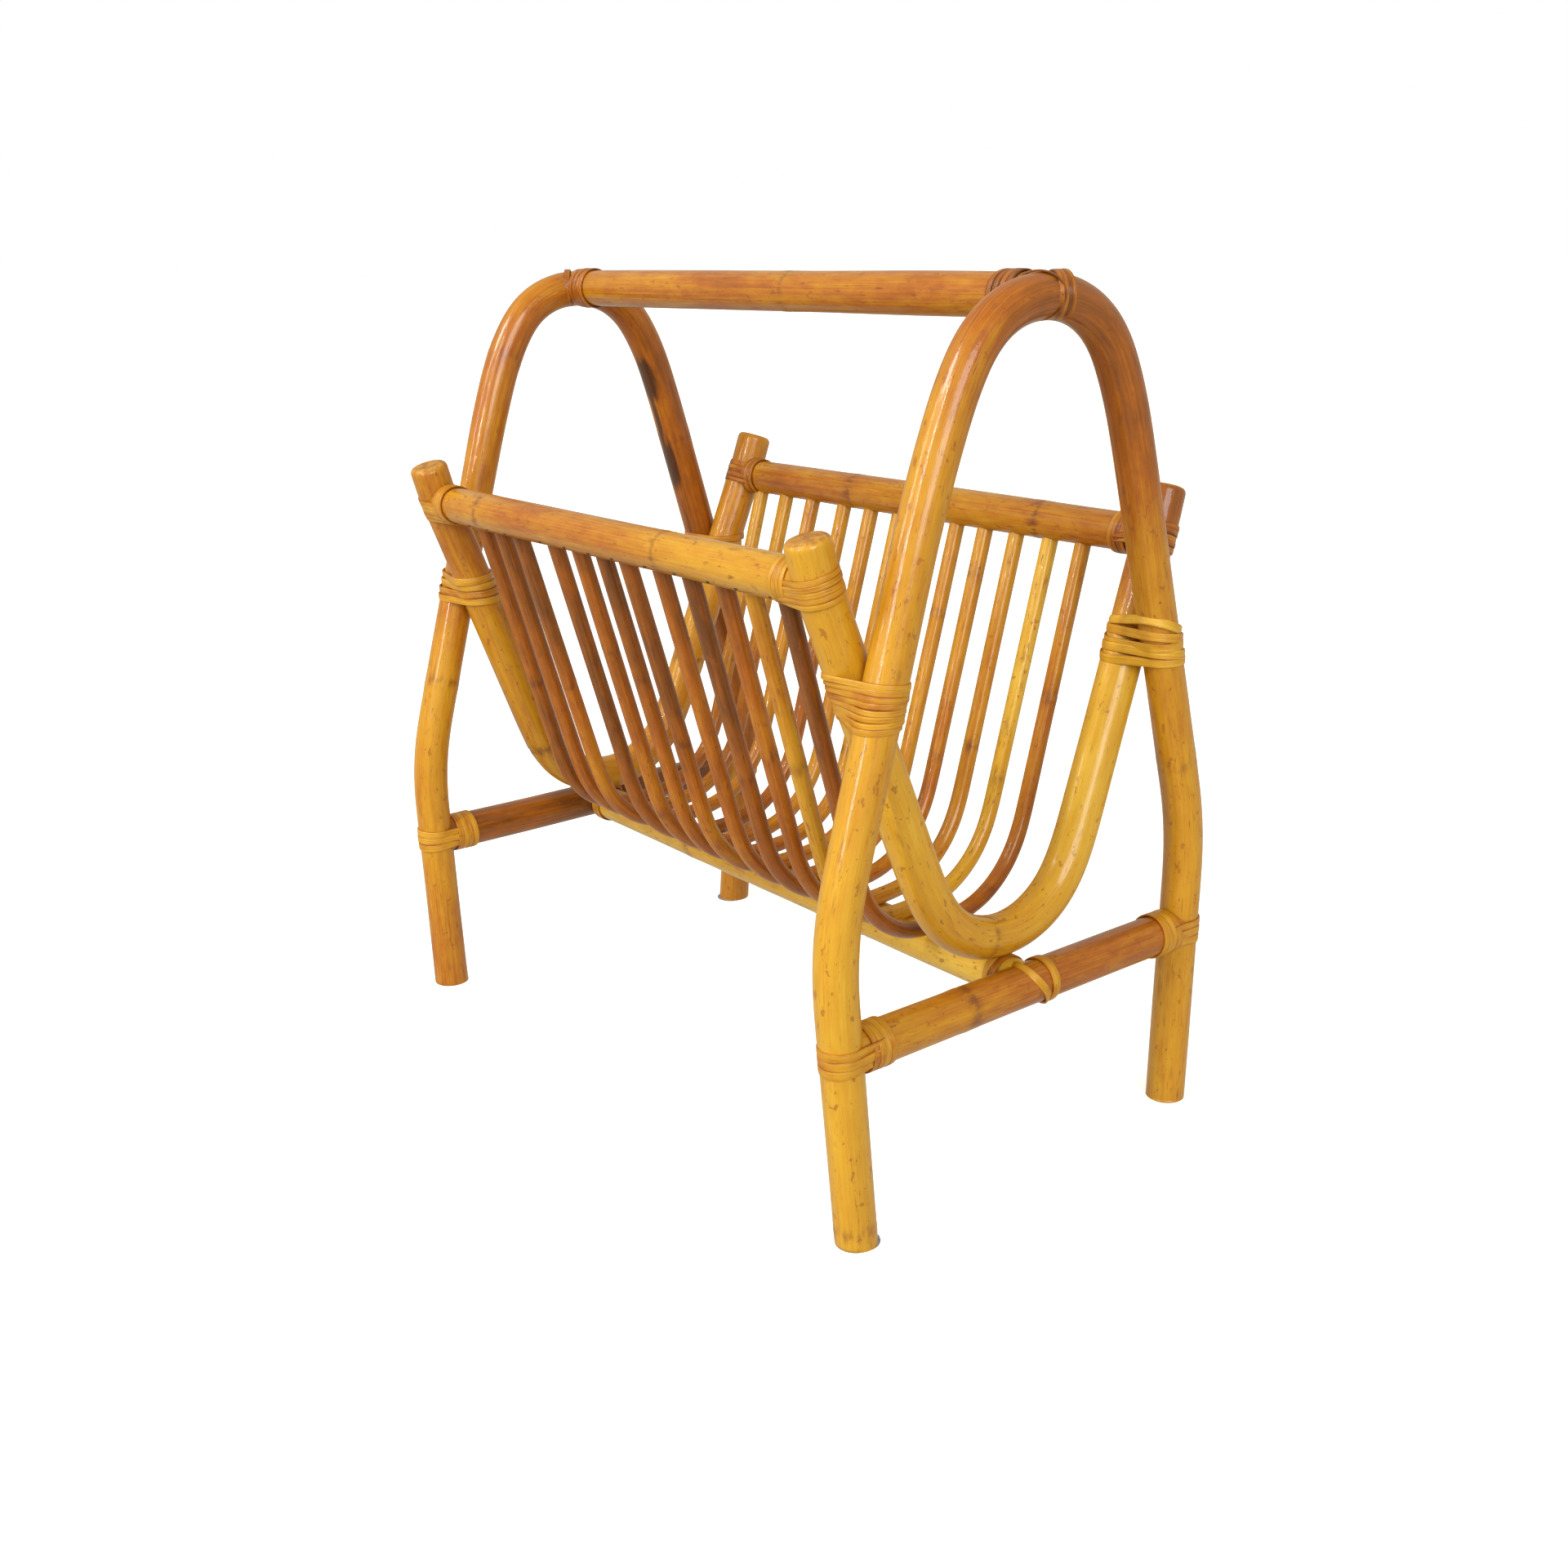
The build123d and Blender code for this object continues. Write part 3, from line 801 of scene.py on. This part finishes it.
def straight_canes():
    """The handle, the rails and the stretchers, each run to the middles of its joints."""
    def along(name, slot, start, end, radius, spacing, reference=Z_AXIS):
        cane(name, straight(start, end), radius, CANES[slot], TONES[name], spacing, reference,
             [name], STAINS.get(name, ()))

    for side in SIDES:
        name = f"{side}_rail"
        along(name, "rail_cane", rail_joint("far", side)[0], rail_joint("near", side)[0], HOOP_R, 0.16)
    along("handle_bar", "rail_cane", crown("far"), crown("near"), HOOP_R, 0.22)
    for end in ENDS:
        along(f"cross_stretcher_{end}", "stretcher_cane", leg_joint(end, "front")[0],
              leg_joint(end, "back")[0], BASKET_R, 0.13, X_AXIS)
    along("centre_stretcher", "stretcher_cane", centre_joint("far"), centre_joint("near"),
          BASKET_R, 0.17)


def slats():
    """The slats, each a tone of its own, with painted shade darkening its front end and painted light
    paling its back end.
    """
    for number, tone in enumerate(SLAT_TONES, 1):
        name = f"slat_{number:02d}"
        line = traced(name, SLAT_HUB, False)
        tones = tone + wander(seeded(name + "_tone"), np.linspace(0, 6, 7), 1.0, 0.12)
        # painted shade and light: darker towards the front end, lighter towards the back end
        tones += np.linspace(*SLAT_PAINTED_SHADE_AND_LIGHT, len(tones))
        cane(name, line, SLAT_R, CANES["slat_cane"], tuple(tones), 0.15,
             replaced=[name], around=SLAT_SIDES)


RAIL_LASHING_TONES = {"front": 0.46, "back": 0.72}


def rail_lashings():
    for end, sign in ENDS.items():
        for side in SIDES:
            name = f"lashing_rail_{end}_{side}"
            joint, post = rail_joint(end, side)
            branch = -sign * X_AXIS
            strips = tee_strips(joint, post, BASKET_R, branch, HOOP_R,
                                rows(-6.5 * MM, 3.1 * MM, 5, 3.3 * MM, 0.02, 0.015),
                                rows(1.6 * MM, 3.0 * MM, 4, 3.3 * MM, 0.04, 0.02))
            lashing(name, strips, RAIL_LASHING_TONES[side], STRIP)


def leg_lashings():
    for end in ENDS:
        for side, sign in SIDES.items():
            name = f"lashing_leg_{end}_{side}"
            joint, post = leg_joint(end, side)
            branch = -sign * Y_AXIS
            strips = tee_strips(joint, post, HOOP_R, branch, BASKET_R,
                                rows(-5.2 * MM, 5.0 * MM, 3, 5.2 * MM, 0.0, 0.04),
                                rows(2.2 * MM, 4.0 * MM, 4, 4.3 * MM, 0.03, 0.03))
            lashing(name, strips, 0.5, STRIP)


def centre_lashings():
    for end, sign in ENDS.items():
        name = f"lashing_centre_{end}"
        joint = centre_joint(end)
        branch = -sign * X_AXIS
        strips = tee_strips(joint, Y_AXIS, BASKET_R, branch, BASKET_R, [],
                            rows(2.2 * MM, 4.0 * MM, 2, 4.4 * MM, 0.05, 0.05))
        round_cross = [(joint, Y_AXIS, BASKET_R)]
        strips.append((joint + 4 * MM * Y_AXIS, Y_AXIS + 0.75 * Z_AXIS, round_cross, 5.4 * MM, 0.0))
        strips.append((joint + 12.5 * MM * Y_AXIS, Y_AXIS, round_cross, 6.0 * MM, 0.35 * MM))
        lashing(name, strips, 0.5, STRIP)


def handle_lashings():
    for end, sign in ENDS.items():
        name = f"lashing_handle_{end}"
        joint = crown(end)
        branch = -sign * X_AXIS
        strips = tee_strips(joint, Y_AXIS, HOOP_R, branch, HOOP_R, [],
                            rows(2.4 * MM, 3.9 * MM, 4, 4.1 * MM, 0.05, 0.03))
        # a band round the crown, leaning past the handle on the inner side
        around_crown = [(joint, Y_AXIS, HOOP_R)]
        for i in range(4):
            origin = joint + (HANDLE_BAND + BAND_STEP * i) * Y_AXIS
            strips.append((origin, Y_AXIS - (0.5 - 0.04 * i) * branch, around_crown,
                           2.8 * MM, (-0.12 + 0.1 * (i % 2)) * MM))
        # one strip from the band over the crown to the wraps round the handle
        strips.append((joint - 5 * MM * Y_AXIS, Y_AXIS + 0.7 * branch, around_crown,
                       4.2 * MM, -0.16 * MM))
        lashing(name, strips, 0.8, STRIP)


# for each crossing: (height, slope along Y, slope along X) of its strips, their width and tone
CROSSINGS = {
    ("near", "front"): ([((2.95 * i - 16.5) * MM, 0.04 - 0.02 * i, 0.0) for i in range(8)],
                        3.5 * MM, 0.46),
    ("near", "back"): ([(-9.6 * MM, 0.05, 0.0), (-5.0 * MM, -0.1, 0.02), (-0.2 * MM, 0.05, 0.0),
                        (4.6 * MM, -0.14, 0.0), (8.6 * MM, -0.4, 0.08)], 5.4 * MM, 0.4),
    ("far", "front"): ([(-8.5 * MM, 0.05, 0.0), (-3.2 * MM, 0.1, 0.0), (2.0 * MM, 0.05, 0.0),
                        (7.4 * MM, 0.12, 0.0)], 5.2 * MM, 0.5),
    ("far", "back"): ([(h * MM, 0.04, 0.0) for h in (-8.0, -3.0, 2.0, 7.0)], 5.0 * MM, 0.55),
}


def crossing_lashings():
    for (end, side), (places, width, tone) in CROSSINGS.items():
        strips = crossing_strips(end, side, places, width)
        lashing(f"lashing_crossing_{end}_{side}", strips, tone, STRIP)


def fasteners():
    """The nails, brads and dowels keep their own shapes."""
    for name, material in (("rail_nails", STEEL), ("crossing_nails", STEEL), ("stretcher_nails", STEEL),
                           ("centre_nails", STEEL), ("slat_nails", STEEL), ("slat_brads", STEEL),
                           ("handle_dowels", DOWEL)):
        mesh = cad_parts[name].data
        mesh.materials.clear()
        mesh.materials.append(material)


# ---------------------------------------------------------------- studio

CAMERA_PLACE = (0.83136, -0.65139, 0.51854)
CAMERA_YAW = -0.6685        # direction from the rack to the camera, about +Z
CAMERA_PITCH = 0.3091       # looking down
CAMERA_ROLL = -0.0134
CAMERA_LENS = 38.33
FLOOR_HALF = 40.0           # half the side of the floor
SURROUNDINGS = (0.58, 0.54, 0.44, 1.0)      # as light; the camera sees them white


def camera():
    forward = np.array([-math.cos(CAMERA_YAW) * math.cos(CAMERA_PITCH),
                        -math.sin(CAMERA_YAW) * math.cos(CAMERA_PITCH), -math.sin(CAMERA_PITCH)])
    level = unit(np.cross(forward, Z_AXIS))
    upright = np.cross(level, forward)
    right = math.cos(CAMERA_ROLL) * level + math.sin(CAMERA_ROLL) * upright
    up = np.cross(right, forward)
    data = bpy.data.cameras.new("camera")
    data.lens = CAMERA_LENS
    data.sensor_width = 36.0
    data.clip_start = 0.01
    made = bpy.data.objects.new("camera", data)
    bpy.context.scene.collection.objects.link(made)
    columns = np.stack([right, up, -forward, np.array(CAMERA_PLACE)], axis=1)
    made.matrix_world = Matrix([*columns.tolist(), [0, 0, 0, 1]])
    bpy.context.scene.camera = made


def area_light(name, place, target, size, power):
    """A tall flat light that faces the target."""
    data = bpy.data.lights.new(name, "AREA")
    data.shape = "RECTANGLE"
    data.size, data.size_y = size
    data.energy = power
    made = bpy.data.objects.new(name, data)
    bpy.context.scene.collection.objects.link(made)
    away = unit(np.array(place) - np.array(target))
    right = unit(np.cross(Z_AXIS, away))
    up = np.cross(away, right)
    columns = np.stack([right, up, away, np.array(place)], axis=1)
    made.matrix_world = Matrix([*columns.tolist(), [0, 0, 0, 1]])


def sun_light(name, towards, strength, softness):
    """A far light from the direction towards it, softness degrees across."""
    data = bpy.data.lights.new(name, "SUN")
    data.energy = strength
    data.angle = math.radians(softness)
    made = bpy.data.objects.new(name, data)
    bpy.context.scene.collection.objects.link(made)
    made.rotation_euler = Vector(towards).to_track_quat("Z", "Y").to_euler()


def studio():
    """Soft key from the front left and above, a fill from the end, two boxes for long highlights."""
    middle = np.array([0.0, 0.0, 0.27])
    sun_light("key", (-0.3, -0.75, 0.75), 0.95, 16)
    sun_light("fill", (0.95, -0.4, 0.45), 1.45, 32)
    area_light("front_box", (0.3, -2.0, 1.2), middle, (0.025, 1.6), 19)
    area_light("left_box", (-0.9, -1.7, 1.2), middle, (0.05, 1.0), 6)
    world = bpy.data.worlds.new("studio")
    bpy.context.scene.world = world
    world.use_nodes = True
    tree = world.node_tree
    seen = put(tree, "ShaderNodeLightPath").outputs["Is Camera Ray"]
    colour = mixed(tree, seen, SURROUNDINGS, (1.0, 1.0, 1.0, 1.0))
    tree.links.new(colour, tree.nodes["Background"].inputs["Color"])
    bpy.context.scene.view_settings.view_transform = "Standard"


def floor():
    """A plain pale floor, which throws no light back on the rack."""
    corners = [(x * FLOOR_HALF, y * FLOOR_HALF, 0) for x, y in ((-1, -1), (1, -1), (1, 1), (-1, 1))]
    mesh = bpy.data.meshes.new("floor")
    mesh.from_pydata(corners, [], [(0, 1, 2, 3)])
    made = bpy.data.objects.new("floor", mesh)
    bpy.context.scene.collection.objects.link(made)
    material, tree, surface = new_material("pale_floor")
    place = put(tree, "ShaderNodeTexCoord").outputs["Object"]
    cloud = put(tree, "ShaderNodeTexNoise", {"Vector": place, "Scale": 3.0, "Detail": 2.0})
    colour = ramp(tree, cloud.outputs[0], ((0.3, (0.9, 0.9, 0.9, 1)), (0.7, (0.93, 0.93, 0.93, 1))))
    tree.links.new(colour, surface.inputs["Base Color"])
    surface.inputs["Roughness"].default_value = 0.7
    surface.inputs["Emission Color"].default_value = (1.0, 1.0, 1.0, 1.0)
    surface.inputs["Emission Strength"].default_value = 0.6
    surface.inputs["Specular IOR Level"].default_value = 0.0
    mesh.materials.append(material)
    made.visible_diffuse = False
    made.visible_glossy = False


camera()
studio()
floor()
bent_canes()
straight_canes()
slats()
rail_lashings()
leg_lashings()
centre_lashings()
handle_lashings()
crossing_lashings()
fasteners()
